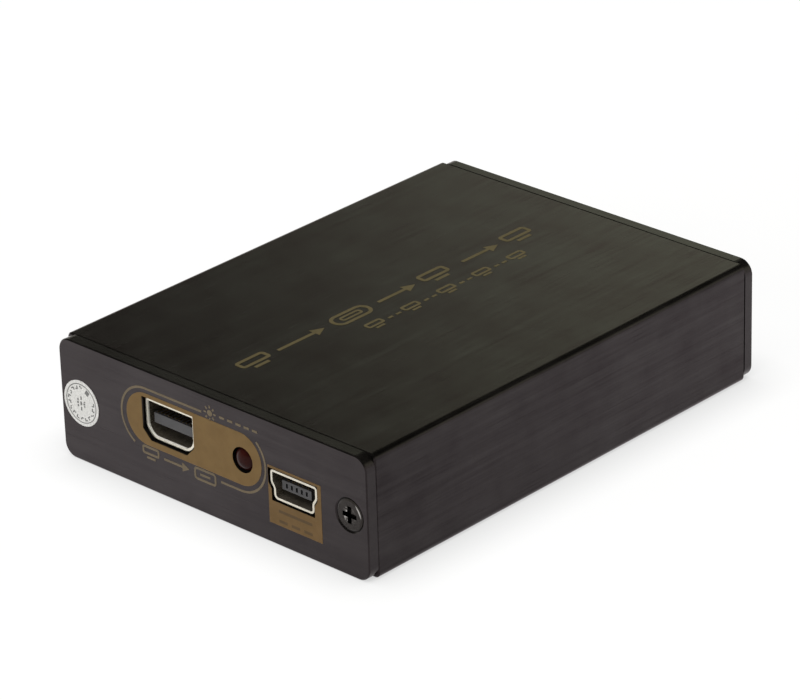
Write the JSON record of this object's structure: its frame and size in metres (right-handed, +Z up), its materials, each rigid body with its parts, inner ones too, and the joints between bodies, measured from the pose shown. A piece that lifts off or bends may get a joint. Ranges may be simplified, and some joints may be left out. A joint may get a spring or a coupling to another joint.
{
  "type": "video splitter adapter box",
  "caption": "Small flat aluminium box that takes a miniature video plug and a power plug at one end and feeds full-size video sockets at the other.",
  "frame": {"origin": "centre of the underside, on the surface that the box stands on", "axes": "+Y from the input end towards the output end, +Z up, +X to the right when the input end is faced"},
  "size_m": [0.051, 0.0699, 0.016],
  "materials": {
    "anodised_aluminium": "brushed, black anodised",
    "blackened_steel": "black oxide",
    "seal_vinyl": "printed vinyl",
    "board_laminate": "solder mask over glass laminate",
    "plated_steel": "stamped, nickel plated",
    "socket_plastic": "moulded",
    "contact_gold": "gold plated",
    "lamp_resin": "tinted clear",
    "tinned_lead": "tinned",
    "chip_resin": "moulded",
    "inductor_ferrite": "pressed ferrite",
    "can_aluminium": "drawn, polished",
    "base_plastic": "moulded",
    "crystal_steel": "pressed, nickel plated",
    "ceramic_body": "fired"
  },
  "bodies": {
    "root": {"housing_shell": "anodised_aluminium", "front_plate": "anodised_aluminium", "rear_plate": "anodised_aluminium", "front_screws": "blackened_steel", "rear_screws": "blackened_steel", "seal_sticker": "seal_vinyl", "circuit_board": "board_laminate", "video_in_shell": "plated_steel", "power_in_shell": "plated_steel", "video_out_shell_left": "plated_steel", "video_out_shell_right": "plated_steel", "video_in_insulator": "socket_plastic", "power_in_insulator": "socket_plastic", "video_out_insulator_left": "socket_plastic", "video_out_insulator_right": "socket_plastic", "video_in_contacts": "contact_gold", "power_in_contacts": "contact_gold", "video_out_contacts_left": "contact_gold", "video_out_contacts_right": "contact_gold", "power_led_lens": "lamp_resin", "power_led_leads": "tinned_lead", "converter_chip_leads": "tinned_lead", "splitter_chip_leads": "tinned_lead", "memory_chip_leads": "tinned_lead", "voltage_regulator_leads": "tinned_lead", "converter_chip": "chip_resin", "splitter_chip": "chip_resin", "memory_chip": "chip_resin", "voltage_regulator": "chip_resin", "surge_arrays": "chip_resin", "chip_resistors": "chip_resin", "power_inductor": "inductor_ferrite", "capacitor_cans": "can_aluminium", "capacitor_bases": "base_plastic", "crystal_can": "crystal_steel", "ceramic_capacitors": "ceramic_body"}
  },
  "joints": []
}
